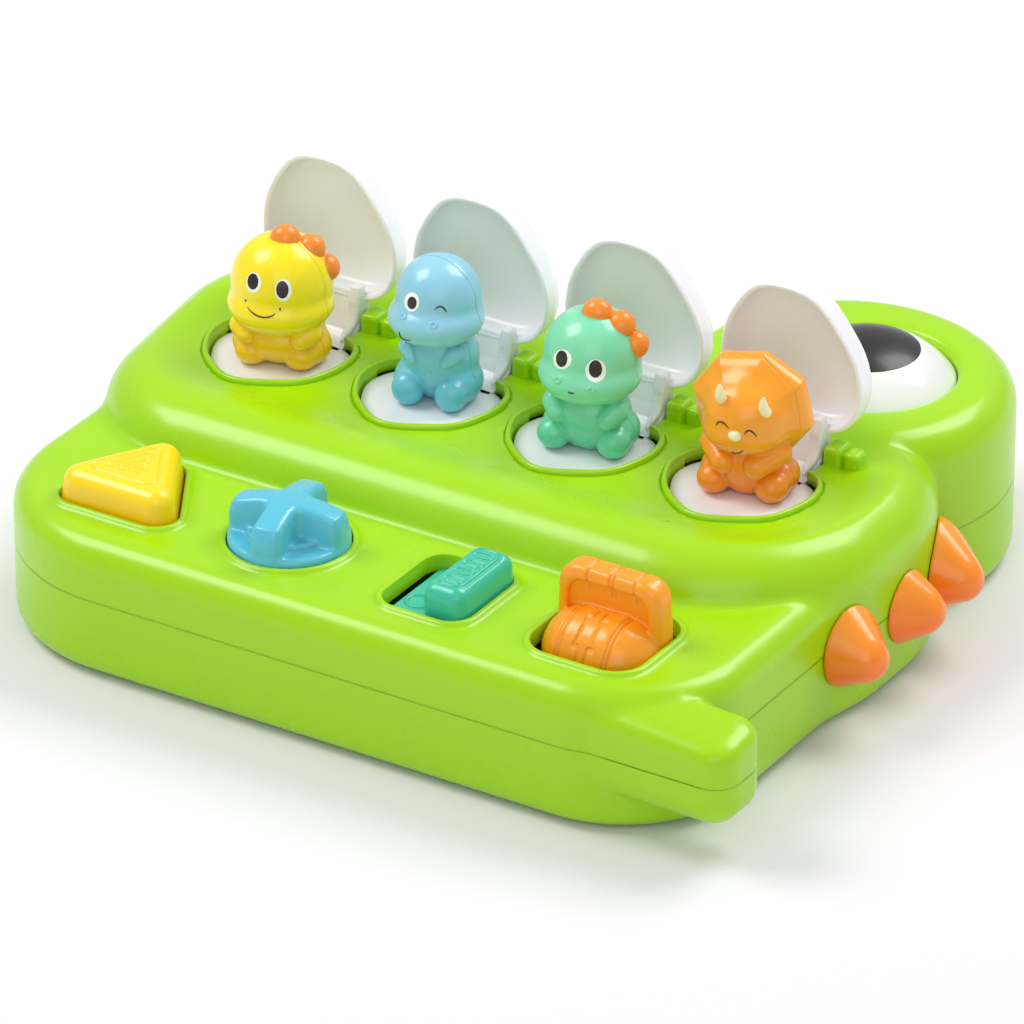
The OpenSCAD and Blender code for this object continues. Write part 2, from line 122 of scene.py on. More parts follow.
BUTTON_X = [x + 4 for x in LID_X]
BUTTON_Y = -91
TRIANGLE = [(-14, -9.5), (14, -9.5), (0, 14.8)]
TRIANGLE_ROUND = 7
KNOB_HOLE = 20
SLIDE_HALF = (15.8, 18.4)
SLIDE_MID = (1.3, -0.8)
SLIDE_ROUND = 7.5
FLIP_HALF = 19.5
FLIP_ROUND = 10
FLIP_Z = DECK_Z - 4.2
SPIKE_X = 139
SPIKE_Z = 27
SPIKE_Y = [-21.5, 8.5, 37]
SPIKE_LEAN = [-4.5, 1.5, -2.5]
KNOB_TURN = 8
KNOB_TOP = 16.4                           # above the deck
CROWN_R = 50                              # radius of the knob's shallow dome
PUSH_SEAT_Z = 19
FIGURE_X = -1.1
FIGURE_Y = [1.5, 5, 4.5, 5.5]
FIGURE_TURN = [16, 11, 11, 11]            # degrees; they look a little to the right
SCREW_BORE = 2.2
SCREW_HEAD = (3.5, 4.0)                   # radius and depth of its hole from below
SCREWS = [(-113, -96, DECK_Z - 1), (-118, 40, RIM_Z - 1), (5, -117, DECK_Z - 1),
          (0, 62, RIM_Z - 1), (112, -108, DECK_Z - 1), (110, 112, RIM_Z - 9)]

# The picture's camera: a long lens, far away.
CAMERA_AT = np.array([1253.27, -2010.18, 1311.5])
CAMERA_RIGHT = np.array([0.8487, 0.5289, 0.0])
CAMERA_UP = np.array([-0.2526, 0.4053, 0.8787])
CAMERA_BACK = np.cross(CAMERA_RIGHT, CAMERA_UP)
LENS = 294.6


# ---------- distance fields ----------

def length(*parts):
    return np.sqrt(sum(p * p for p in parts))


def blend_min(a, b, k):
    """The union of two fields with a fillet of about k."""
    h = np.maximum(k - np.abs(a - b), 0) / k
    return np.minimum(a, b) - h * h * k / 4


def blend_max(a, b, k):
    return -blend_min(-a, -b, k)


def polygon_field(x, y, points):
    """Signed distance to a closed outline, negative inside."""
    x, y = np.broadcast_arrays(x, y)
    nearest = np.full(x.shape, 1e12)
    inside = np.zeros(x.shape, bool)
    for (ax, ay), (bx, by) in zip(points, [*points[1:], points[0]]):
        ex, ey = bx - ax, by - ay
        wx, wy = x - ax, y - ay
        t = np.clip((wx * ex + wy * ey) / (ex * ex + ey * ey), 0, 1)
        nearest = np.minimum(nearest, (wx - ex * t) ** 2 + (wy - ey * t) ** 2)
        crosses = (ay > y) != (by > y)
        inside ^= crosses & (x < ax + wy * ex / (ey or 1))
    return np.where(inside, -1, 1) * np.sqrt(nearest)


def box_field(x, y, z, x_ends, y_ends, z_ends, r):
    """A box with all its edges rounded by r."""
    parts = [np.maximum(lo - v, v - hi) + r for v, (lo, hi) in ((x, x_ends), (y, y_ends), (z, z_ends))]
    inside = np.minimum(np.maximum(np.maximum(parts[0], parts[1]), parts[2]), 0)
    return inside + length(*[np.maximum(p, 0) for p in parts]) - r


def slab_field(outline, z, z0, z1, top_r, low_r):
    """A plate of that outline field, with rounded upper and lower edges."""
    r = np.where(z > (z0 + z1) / 2, top_r, low_r)
    side = outline + r
    end = np.maximum(z - z1, z0 - z) + r
    return np.minimum(np.maximum(side, end), 0) + length(np.maximum(side, 0), np.maximum(end, 0)) - r


def egg_field(x, y, z, centre, radii):
    """An ellipsoid."""
    p = [(v - c) for v, c in zip((x, y, z), centre)]
    k0 = length(*[v / r for v, r in zip(p, radii)])
    k1 = length(*[v / (r * r) for v, r in zip(p, radii)])
    return k0 * (k0 - 1) / np.maximum(k1, 1e-9)


def rod_field(x, y, z, a, b, ra, rb):
    """The hull of two balls, of radius ra at a and rb at b."""
    axis = [q - p for p, q in zip(a, b)]
    off = [v - p for v, p in zip((x, y, z), a)]
    span = sum(d * d for d in axis)
    along = sum(v * d for v, d in zip(off, axis))
    slip = ra - rb
    lean = span - slip * slip
    past = along - span
    across2 = sum((v * span - d * along) ** 2 for v, d in zip(off, axis))
    k = math.copysign(slip * slip, slip) * across2
    near_b = np.sqrt(across2 + past * past * span) / span - rb
    near_a = np.sqrt(across2 + along * along * span) / span - ra
    between = (np.sqrt(across2 * lean / span) + along * slip) / span - ra
    return np.where(np.sign(past) * lean * past * past * span > k, near_b,
                    np.where(np.sign(along) * lean * along * along * span < k, near_a, between))


def wrapped(discs, steps=96):
    """The outline of a band pulled tight round discs (x, y, r)."""
    points = []
    for k in range(steps):
        u = (math.cos(2 * math.pi * k / steps), math.sin(2 * math.pi * k / steps))
        x, y, r = max(discs, key=lambda d: d[0] * u[0] + d[1] * u[1] + d[2])
        points.append((x + r * u[0], y + r * u[1]))
    return points


def groove(field, line, half_width, depth):
    """Cuts a soft groove along the zero of line into the skin of field."""
    across = np.maximum(np.abs(line) - half_width * 0.4, 0)
    cutter = length(across, field / max(depth / half_width, 1)) - half_width
    return blend_max(field, -cutter, 0.3)


# ---------- meshes ----------

def solid(field, low, high, step):
    """(points, faces) of a field's zero surface, each point moved onto the true surface."""
    axes = [np.arange(a - 2 * step, b + 3 * step, step) for a, b in zip(low, high)]
    x, y, z = np.meshgrid(*axes, indexing="ij", sparse=True)
    shape = tuple(len(a) for a in axes)
    values = np.clip(np.broadcast_to(field(x, y, z), shape), -3 * step, 3 * step)
    grid = openvdb.FloatGrid(3 * step)
    grid.copyFromArray(np.ascontiguousarray(values, dtype=np.float32))
    points, quads = grid.convertToQuads(0.0)
    points = points.astype(float) * step + [a[0] for a in axes]
    reach = 0.02
    for _ in range(2):
        value = field(*points.T)
        slope = np.stack([(field(*(points + d).T) - field(*(points - d).T)) / (2 * reach)
                          for d in np.eye(3) * reach], 1)
        move = -value[:, None] * slope / np.maximum((slope ** 2).sum(1), 0.2)[:, None]
        far = np.maximum(length(*move.T) / (0.5 * step), 1)
        points += move / far[:, None]
    return points, quads.tolist()


def arc_points(centre, r, start, end, n):
    return [(centre[0] + r * math.cos(a), centre[1] + r * math.sin(a))
            for a in (math.radians(start + (end - start) * k / n) for k in range(n + 1))]


def rounded(points, r, n=8):
    """The outline that a band of radius r makes round a convex list of points."""
    outline = []
    for k, (x, y) in enumerate(points):
        (px, py), (qx, qy) = points[k - 1], points[(k + 1) % len(points)]
        start = math.degrees(math.atan2(px - x, y - py))
        end = math.degrees(math.atan2(x - qx, qy - y))
        outline += arc_points((x, y), r, start, end + 360 if end < start else end, n)
    return outline


def softened(outline, count=120, reach=8):
    """The outline with evenly spaced points and its corners smoothed out."""
    closed = np.array([*outline, outline[0]])
    along = np.concatenate([[0], np.cumsum(length(*np.diff(closed, axis=0).T))])
    at = np.linspace(0, along[-1], count, endpoint=False)
    even = np.stack([np.interp(at, along, closed[:, k]) for k in (0, 1)], 1)
    window = np.hanning(2 * reach + 3)[1:-1]
    smooth = sum(w * np.roll(even, k - reach, 0) for k, w in enumerate(window / window.sum()))
    return [tuple(q) for q in smooth]


def loft(rings, closed=False):
    """Quads between rings of equal counts; the end rings are capped, or joined if closed."""
    n, count = len(rings[0]), len(rings)
    points = np.array(rings, float).reshape(-1, 3)
    faces = []
    for k in range(count if closed else count - 1):
        a, b = k * n, (k + 1) % count * n
        faces += [[a + i, a + (i + 1) % n, b + (i + 1) % n, b + i] for i in range(n)]
    if not closed:
        faces += [list(range(n))[::-1], [(count - 1) * n + i for i in range(n)]]
    return points, faces


def ring_of(outline, z):
    return [(x, y, z) for x, y in outline]


def prism(outline, z0, z1):
    return loft([ring_of(outline, z0), ring_of(outline, z1)])


def box_prism(x, y, z0, z1):
    return prism([(x[0], y[0]), (x[1], y[0]), (x[1], y[1]), (x[0], y[1])], z0, z1)


def circle(x, y, r, n=72):
    return [(x + r * math.cos(2 * math.pi * k / n), y + r * math.sin(2 * math.pi * k / n)) for k in range(n)]


def moulding(outline_at, profile):
    """A closed band: the profile is a closed list of (offset from the outline, z)."""
    return loft([ring_of(outline_at(offset), z) for offset, z in profile], closed=True)


def moved(shape, by):
    return shape[0] + np.array(by, float), shape[1]


def merged(*shapes):
    points, faces, start = [], [], 0
    for p, f in shapes:
        points.append(p)
        faces += [[i + start for i in face] for face in f]
        start += len(p)
    return np.concatenate(points), faces


def outward(shape):
    """The closed shape, its faces turned so that its volume is positive."""
    points, faces = shape
    fan = [(f[0], f[k], f[k + 1]) for f in faces for k in range(1, len(f) - 1)]
    a, b, c = (points[[t[k] for t in fan]] for k in range(3))
    volume = (np.cross(a, b) * c).sum()
    return points, faces if volume > 0 else [f[::-1] for f in faces]


def piece(name, shape, material, body=None, replaces=(), sharp=40):
    """A mesh object in the row frame, in metres, that rides on a body."""
    mesh = bpy.data.meshes.new(name)
    mesh.from_pydata((shape[0] - ORIGIN) * MM, [], shape[1])
    mesh.validate()
    mesh.shade_smooth()
    mesh.set_sharp_from_angle(angle=math.radians(sharp))
    mesh.materials.append(material)
    made = bpy.data.objects.new(name, mesh)
    bpy.context.scene.collection.objects.link(made)
    if body:
        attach(made, body)
    if replaces:
        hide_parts(*replaces)
    return made


def cut(target, shapes):
    """Cuts shapes (points, faces) out of a mesh object for good."""
    for shape in shapes:
        tool = piece("cutter", outward(shape), target.data.materials[0])
        modifier = target.modifiers.new("cut", "BOOLEAN")
        modifier.object = tool
        modifier.operation = "DIFFERENCE"
        modifier.solver = "MANIFOLD"
        bpy.context.view_layer.update()
        graph = bpy.context.evaluated_depsgraph_get()
        made = bpy.data.meshes.new_from_object(target.evaluated_get(graph))
        target.modifiers.remove(modifier)
        target.data = made
        bpy.data.objects.remove(tool)


def join_to(target, extra):
    """Moves a loose piece's mesh into another piece's own."""
    graph = bmesh.new()
    graph.from_mesh(target.data)
    graph.from_mesh(extra.data)
    graph.to_mesh(target.data)
    graph.free()
    bpy.data.objects.remove(extra)


def add_to(target, shape):
    """Adds a closed shape to a piece's own mesh."""
    join_to(target, piece("extra", shape, target.data.materials[0]))


# ---------- materials ----------

def plastic(slot, name, colour, rough=0.28, coat=0.35, grain=0.05, soft=0.0, top=None, z_range=(0, 0.1)):
    """Moulded plastic: slight colour and gloss changes and a fine grain. top is a second colour
    that the first runs into between the two heights of z_range, in metres: painted light, a lighter
    top as a painted highlight over painted shade lower down."""
    made = bpy.data.materials.new(name)
    made["slot"] = slot
    made.use_nodes = True
    nodes, links = made.node_tree.nodes, made.node_tree.links
    shader = nodes["Principled BSDF"]
    place = nodes.new("ShaderNodeTexCoord")

    def noise(scale, detail):
        node = nodes.new("ShaderNodeTexNoise")
        node.inputs["Scale"].default_value = scale
        node.inputs["Detail"].default_value = detail
        links.new(place.outputs["Object"], node.inputs["Vector"])
        return node.outputs["Fac"]

    def mapped(value, low, high, to_low, to_high):
        node = nodes.new("ShaderNodeMapRange")
        for key, number in zip(("From Min", "From Max", "To Min", "To Max"), (low, high, to_low, to_high)):
            node.inputs[key].default_value = number
        links.new(value, node.inputs["Value"])
        return node.outputs["Result"]

    def mixed(fac, a, b):
        node = nodes.new("ShaderNodeMix")
        node.data_type = "RGBA"
        links.new(fac, node.inputs["Factor"])
        for key, value in (("A", a), ("B", b)):
            socket = next(i for i in node.inputs if i.name == key and i.type == "RGBA")
            if isinstance(value, bpy.types.NodeSocket):
                links.new(value, socket)
            else:
                socket.default_value = (*value, 1)
        return next(o for o in node.outputs if o.type == "RGBA")

    base = colour
    # Painted light: the colour runs into the lighter top colour with height, painted shade below and a
    # painted highlight above.
    if top:
        split = nodes.new("ShaderNodeSeparateXYZ")
        links.new(place.outputs["Object"], split.inputs[0])
        base = mixed(mapped(split.outputs["Z"], *z_range, 0, 1), colour, top)
    darker = tuple(c * 0.96 for c in colour)
    tint = mixed(mapped(noise(18, 2), 0.35, 0.65, 0, 0.1), base, darker)
    links.new(tint, shader.inputs["Base Color"])
    links.new(mapped(noise(60, 4), 0.3, 0.7, rough * 0.95, rough * 1.05), shader.inputs["Roughness"])
    bump = nodes.new("ShaderNodeBump")
    bump.inputs["Strength"].default_value = grain
    bump.inputs["Distance"].default_value = 0.00004
    links.new(noise(1400, 3), bump.inputs["Height"])
    links.new(bump.outputs["Normal"], shader.inputs["Normal"])
    shader.inputs["Coat Weight"].default_value = coat
    shader.inputs["Coat Roughness"].default_value = 0.12
    shader.inputs["IOR"].default_value = 1.46
    if soft:
        shader.inputs["Subsurface Weight"].default_value = soft
        shader.inputs["Subsurface Radius"].default_value = (1, 0.9, 0.8)
        shader.inputs["Subsurface Scale"].default_value = 0.003
    return made


def srgb(r, g, b):
    return tuple((c / 255 / 12.92) if c <= 10 else ((c / 255 + 0.055) / 1.055) ** 2.4 for c in (r, g, b))


def plate_z(height):
    """A height above the figure plates, in metres."""
    return (PLATE_TOP + height) * MM


GREEN = plastic("green_plastic", "moulded_green", srgb(160, 214, 0), coat=0.12)
WHITE = plastic("white_plastic", "moulded_white", srgb(246, 246, 250), rough=0.3, soft=0.1)
EYE_WHITE = plastic("eye_white", "eye_white", srgb(238, 238, 236), rough=0.16, coat=0.6)
EYE_BLACK = plastic("eye_black", "eye_black", srgb(26, 26, 28), rough=0.35, coat=0.15)
# The spines run into a lighter orange towards their tops: a painted highlight where the light falls.
SPIKE = plastic("orange_plastic", "spine_orange_painted_highlight", srgb(250, 118, 16), top=srgb(255, 166, 40),
                z_range=(0.022, 0.042))
CREST = plastic("orange_plastic", "crest_orange", srgb(250, 142, 34))
# The buttons run from a deeper yellow at the deck to a lighter yellow on top: painted shade at the base, a
# painted highlight on top.
YELLOW = plastic("yellow_plastic", "button_yellow_painted_light", srgb(255, 190, 0), top=srgb(255, 222, 16),
                 z_range=(DECK_Z * MM, (DECK_Z + 9) * MM))
# Each figure runs from a deeper colour low down to a lighter one towards its head: painted shade on the lower
# body, painted light on the head.
FIGURE_COLOURS = [
    plastic("yellow_plastic", "figure_yellow_painted_light", srgb(250, 200, 0), top=srgb(255, 230, 14),
            z_range=(plate_z(8), plate_z(22)), soft=0.1),
    plastic("blue_plastic", "figure_blue_painted_light", srgb(96, 194, 216), top=srgb(150, 208, 230),
            z_range=(plate_z(4), plate_z(30)), soft=0.1),
    plastic("mint_plastic", "figure_mint_painted_light", srgb(94, 208, 164), top=srgb(132, 222, 178),
            z_range=(plate_z(4), plate_z(26)), soft=0.1),
    plastic("amber_plastic", "figure_amber_painted_light", srgb(246, 140, 20), top=srgb(252, 162, 28),
            z_range=(plate_z(4), plate_z(26)), soft=0.1),
]
BLUE = plastic("blue_plastic", "knob_blue", srgb(88, 190, 214))
TEAL = plastic("teal_plastic", "slider_teal", srgb(54, 190, 158))
AMBER = plastic("amber_plastic", "lever_amber", srgb(252, 158, 22))
CREAM = plastic("white_plastic", "horn_cream", srgb(250, 238, 190), rough=0.3)
PAINT_WHITE = plastic("eye_white", "paint_white", srgb(250, 250, 250), rough=0.3, coat=0.2)
PAINT_BLACK = plastic("eye_black", "paint_black", srgb(38, 28, 26), rough=0.35, coat=0.2)
GREY_PLASTIC = plastic("grey_plastic", "latch_grey", srgb(150, 152, 155), rough=0.45, coat=0.0)
RUBBER = plastic("grey_rubber", "foot_rubber", srgb(88, 88, 90), rough=0.75, coat=0.0, grain=0.4)


def spring_steel():
    made = plastic("spring_steel", "drawn_steel", (0.56, 0.57, 0.6), rough=0.28, coat=0.0, grain=0.2)
    made.node_tree.nodes["Principled BSDF"].inputs["Metallic"].default_value = 1
    return made


STEEL = spring_steel()


# ---------- case ----------

DECK_OUTLINE = wrapped(DECK_DISCS)
RIDGE_OUTLINE = wrapped(RIDGE_DISCS)


def dish_cut(x, y, z):
    """The dished floor between the ridges, with soft sloping sides."""
    side = length(x - np.clip(x, -DISH_HALF, DISH_HALF), y - DISH_Y) - DISH_R
    slope = (side - (z - RIM_Z) * DISH_SLOPE) * DISH_COSINE
    return blend_max(RIM_Z - z, slope, 5)


def tail_field(x, y, z):
    """The tail's stump: a soft block with a roof that falls off to the right and the front."""
    block = box_field(x, y, z, (100, 154), (-124.5, -99), (12.7, 46.5), 9)
    roof = z - 46 + (x - 124) * 0.1 + np.maximum(-y - 106, 0) * 0.2
    return blend_max(block, roof, 5)


def case_field(x, y, z):
    deck = slab_field(polygon_field(x, y, DECK_OUTLINE), z, FOOT_GAP, DECK_Z, *DECK_ROUND)
    ridge = slab_field(polygon_field(x, y, RIDGE_OUTLINE), z, FOOT_GAP, RIDGE_Z, *RIDGE_ROUND)
    head = slab_field(length(x - HEAD[0], y - HEAD[1]) - HEAD[2], z, FOOT_GAP, HEAD_Z, *HEAD_ROUND)
    body = blend_min(blend_min(deck, tail_field(x, y, z), 2), ridge, 3)
    body = blend_min(body, head, 1.5)
    body = blend_max(body, -dish_cut(x, y, z), 3)
    socket = np.maximum(length(x - EYE[0], y - EYE[1]) - EYE[2], SOCKET_Z - z)
    return blend_max(body, -socket, 4)


def cavity_field(x, y, z):
    return case_field(x, y, z) + WALL


def well_at(x):
    return lambda offset: [(x + px, py) for px, py in softened(rounded(WELL_POINTS, WELL_ROUND + offset))]


SQUARE = [(-1, -1), (1, -1), (1, 1), (-1, 1)]


def button_outline(k):
    """The outline of a button's opening, widened by an offset."""
    sx, sy = SLIDE_HALF[0] - SLIDE_ROUND, SLIDE_HALF[1] - SLIDE_ROUND
    f = FLIP_HALF - FLIP_ROUND
    points, r = [(TRIANGLE, TRIANGLE_ROUND + 0.5), ([(0, 0.01), (-0.01, -0.01), (0.01, -0.01)], KNOB_HOLE),
                 ([(SLIDE_MID[0] + i * sx, SLIDE_MID[1] + j * sy) for i, j in SQUARE], SLIDE_ROUND),
                 ([(i * f, j * f) for i, j in SQUARE], FLIP_ROUND)][k]
    return lambda offset: [(BUTTON_X[k] + px, BUTTON_Y + py) for px, py in rounded(points, r + offset, 14)]


# (offset, height) round a band: a rounded bead with a soft foot.
BUTTON_LIP = [(0, -4.2), (0, 1.0), (0.2, 1.4), (0.7, 1.6), (1.3, 1.6), (1.8, 1.4), (2.2, 1.0),
              (2.7, 0.5), (3.4, 0.15), (4.4, -0.02), (4.4, -0.3), (1.4, -0.6), (1.4, -4.2)]
WELL_BEAD = [(0, -8), (0, 0.9), (0.12, 1.3), (0.45, 1.55), (0.9, 1.6), (1.35, 1.5), (1.75, 1.1),
             (1.9, 0.4), (2.0, -0.5), (2.25, -0.55), (2.45, -0.05), (3.3, -0.12), (3.3, -0.8),
             (1.6, -1.2), (1.6, -8)]


def boss_field(x, y, z):
    """The hinge's block: a rounded top round the pin, joined to the floor."""
    body = None
    for lo, hi, r in BOSSES:
        block = box_field(x, y, z, (lo, hi), (HINGE_Y - r, HINGE_Y + r), (RIM_Z - 3, HINGE_Z + r), 1.8)
        body = block if body is None else blend_min(body, block, 0.5)
    return body


def post(p, z0, z1, bore, r=4):
    """A round screw post with a bore, at the point p."""
    def around(offset):
        return arc_points(p[:2], bore / 2 + offset, 0, 345, 23)
    return moulding(around, [(0, z0), (0, z1), (r - bore / 2, z1), (r - bore / 2, z0)])


def case_halves():
    bounds = (-147, -129, FOOT_GAP), (159, 130, RIDGE_Z)
    outside = solid(case_field, *bounds, 1.25)
    inside = solid(cavity_field, *bounds, 3.0)
    deep = box_prism((-200, 200), (-200, 200), -60, SEAM_Z - SEAM_HALF_GAP)
    high = box_prism((-200, 200), (-200, 200), SEAM_Z + SEAM_HALF_GAP, 160)
    halves = []
    for name, away in (("top_shell", deep), ("bottom_shell", high)):
        half = piece(name, outside, GREEN, "case", [name], sharp=35)
        cut(half, [inside, away])
        halves.append(half)
    return halves


def through(outline, z):
    """A prism that goes through the skin at height z."""
    return prism(outline, z - 12, z + 20)


def arm_slot(x):
    """The slot behind a well that the lid's arm swings in."""
    left, right = x + ARM_X[0] - 0.8, x + ARM_X[1] + 0.8
    return through([(left, 0), (right, 0), (right, HINGE_Y + 8), (left, HINGE_Y + 8)], RIM_Z)


def top_details(top):
    """Cuts the openings, then adds the wells' beads, the buttons' lips, the bosses and the posts."""
    for i, x in enumerate(LID_X):
        cut(top, [through(well_at(x)(2.4), RIM_Z), arm_slot(x), through(button_outline(i)(1), DECK_Z)])
    for i, x in enumerate(LID_X):
        ring = piece("ring", moved(moulding(well_at(x), WELL_BEAD), (0, 0, RIM_Z)), GREEN)
        cut(ring, [box_prism((x - 30, x + 26), (6, HINGE_Y + 12), RIM_Z - 9, RIM_Z - WALL), arm_slot(x)])
        join_to(top, ring)
        add_to(top, outward(moved(moulding(button_outline(i), BUTTON_LIP), (0, 0, DECK_Z))))
        boss = solid(boss_field, (-23, HINGE_Y - 5, RIM_Z - 3), (26, HINGE_Y + 5, HINGE_Z + 5), 0.5)
        add_to(top, moved(boss, (x, 0, 0)))
    for p in SCREWS:
        add_to(top, outward(post(p, SEAM_Z + SEAM_HALF_GAP, p[2], SCREW_BORE)))


top_shell, bottom_shell = case_halves()
top_details(top_shell)
for screw in SCREWS:
    cut(bottom_shell, [prism(circle(screw[0], screw[1], SCREW_HEAD[0], 40), -1, SCREW_HEAD[1])])


# ---------- swept and projected shapes ----------

def tube(path, radii, sides=10, closed=False):
    """A round tube along 3-D points; radii is one number or one for each point."""
    path = np.array(path, float)
    n = len(path)
    radii = np.broadcast_to(radii, (n,))
    ahead = np.roll(path, -1, 0) - np.roll(path, 1, 0)
    if not closed:
        ahead[0], ahead[-1] = path[1] - path[0], path[-1] - path[-2]
    ahead /= np.linalg.norm(ahead, axis=1)[:, None]
    side = np.cross(ahead[0], (0.3, 0.5, 0.8))
    rings = []
    for p, r, t in zip(path, radii, ahead):
        side = side - t * (side @ t)
        side /= np.linalg.norm(side)
        other = np.cross(t, side)
        rings.append([p + r * (math.cos(a) * side + math.sin(a) * other)
                      for a in (2 * math.pi * k / sides for k in range(sides))])
    return outward(loft(rings, closed))


def coil(centre, axis, radius, wire, turns, span):
    """One unbroken helix along X or Z, flat at both ends."""
    path = []
    for k in range(int(turns * 20) + 1):
        a = 2 * math.pi * k / 20
        share = k / (turns * 20)
        rise = wire + (span - 2 * wire) * min(max((share * turns - 0.6) / (turns - 1.2), 0), 1)
        u, v = radius * math.cos(a), radius * math.sin(a)
        path.append((rise, u, v) if axis == "x" else (u, v, rise))
    return tube(np.array(path) + centre, wire, 8)


def on_skin(tree, foot, right, up, lift):
    """The point of a surface that the camera sees at (right, up) from a foot point, lifted off by lift."""
    start = foot + CAMERA_RIGHT * right + CAMERA_UP * up + CAMERA_BACK * 100
    hit, normal, _, _ = tree.ray_cast(Vector(start), Vector(-CAMERA_BACK))
    return np.array(hit) + np.array(normal) * lift


def painted_spot(tree, foot, centre, half, lift=0.07, rings=4, around=28):
    """A thin oval of paint; half is (half width, half height)."""
    def layer(raise_by):
        return [[on_skin(tree, foot, centre[0] + half[0] * k / rings * math.cos(a),
                         centre[1] + half[1] * k / rings * math.sin(a), raise_by * (1 - 0.4 * (k == rings)))
                 for a in (2 * math.pi * j / around for j in range(around))]
                for k in range(rings, 0, -1)]
    return outward(loft(layer(-0.3)[::-1] + layer(lift)))


def painted_line(tree, foot, path, r=0.27):
    """A thin line of paint along a smooth path through the given points."""
    knots = np.array(path, float)
    t = np.arange(len(knots))
    curve = np.polyfit(t, knots, min(len(knots) - 1, 3))
    steps = np.linspace(0, t[-1], 17)
    points = [on_skin(tree, foot, *np.array([np.polyval(c, k) for c in curve.T]), 0.02) for k in steps]
    return tube(points, r * np.minimum(1, 0.45 + 2.5 * np.minimum(steps, t[-1] - steps) / t[-1]))


# ---------- lids ----------

def cap_outline(offset, share):
    """The lid's outline at an offset, drawn in towards its middle."""
    outline = np.array(softened(rounded(LID_POINTS, LID_ROUND + offset)))
    middle = outline.mean(0)
    return [tuple(q) for q in middle + (outline - middle) * share]


def cap_shape():
    """The lid's cap, closed: a wall with a soft dome, hollow from below."""
    z0 = RIM_Z + RIM_LIFT
    steps = [math.sin(math.radians(a)) for a in (90, 78, 66, 54, 42, 30, 20, 10, 3)]

    def wall(offset, z):
        return ring_of(cap_outline(offset, 1), z0 + z)

    def dome(offset, wall_top, top):
        rise = top - wall_top
        return [ring_of(cap_outline(offset, s), z0 + wall_top + rise * (1 - s ** 4.5) ** (1 / 2.2))
                for s in steps]
    outer = [wall(-1.3, 0.2), wall(-1.0, 0), wall(-0.4, 0.05), wall(0, 0.5), wall(0, 3),
             *dome(0, 5.5, CAP_DEPTH)]
    inner = [wall(-1.8, 0.6), wall(-1.8, 3), *dome(-1.8, 5, CAP_DEPTH - 1.8)]
    return outward(loft(inner[::-1] + outer))


def opened(shape):
    """A shape of the closed lid, swung back by a right angle about the hinge."""
    p = shape[0] - (0, HINGE_Y, HINGE_Z)
    return np.stack([p[:, 0], p[:, 2], -p[:, 1]], 1) + (0, HINGE_Y, HINGE_Z), shape[1]


# The moulding's back wall from the plate round the hinge pin to the cap, as (y, z).
BACK_OUTLINE = [
    (13.5, PLATE_TOP - PLATE_T), (HINGE_Y - 5, PLATE_TOP - PLATE_T),
    *arc_points((HINGE_Y, HINGE_Z), 3.4, -60, 0, 6),
    (HINGE_Y + 3.4, HINGE_Z + 6), (HINGE_Y + 2.6, HINGE_Z + 9), (HINGE_Y + 0.4, HINGE_Z + 9),
    (HINGE_Y - 2, HINGE_Z + 1), (HINGE_Y - 4, HINGE_Z - 3), (HINGE_Y - 7, PLATE_TOP), (13.5, PLATE_TOP)
]
# The bracket in front of the wall's right-hand end.
BRACKET_OUTLINE = [
    (HINGE_Y - 9.5, PLATE_TOP - 1), (HINGE_Y + 3, PLATE_TOP - 1), (HINGE_Y + 3.4, HINGE_Z + 6),
    (HINGE_Y + 2, HINGE_Z + 12), (HINGE_Y - 1.7, HINGE_Z + 12),
    *arc_points((HINGE_Y - 14, HINGE_Z + 7), 11, 0, -72, 6)
]


def arm_field(x, y, z):
    wall = np.maximum(polygon_field(y, z, BACK_OUTLINE), np.maximum(ARM_X[0] - x, x - ARM_X[1]))
    half = 2.2 - np.clip(HINGE_Z - z, 0, 4) * 0.35
    bracket = blend_max(polygon_field(y, z, BRACKET_OUTLINE), np.abs(x - ARM_X[1] + 2.4) - half, 1.4)
    return np.maximum(np.minimum(wall, bracket), PIN_HOLE_R - length(y - HINGE_Y, z - HINGE_Z))


def plate_shape():
    """The disc that the figure stands on."""
    z1, z0 = PLATE_TOP, PLATE_TOP - PLATE_T
    rings = [(0.8, z0), (0.8, z1 - 0.4), (0.92, z1 - 0.1), (1.2, z1), (8, z1)]
    return outward(loft([ring_of(well_at(0)(-inset), z) for inset, z in rings]))


def make_lids():
    low, high = (ARM_X[0], 12, PLATE_TOP - 3), (ARM_X[1], HINGE_Y + 5, HINGE_Z + 13)
    parts = merged(opened(cap_shape()), plate_shape(), solid(arm_field, low, high, 0.45))
    for i, x in enumerate(LID_X):
        lid = moved(parts, (x, 0, 0))
        piece(f"lid_moulding_{i + 1}", lid, WHITE, f"popup_{i + 1}", [f"popup_lid_{i + 1}"])


make_lids()


# ---------- figures ----------

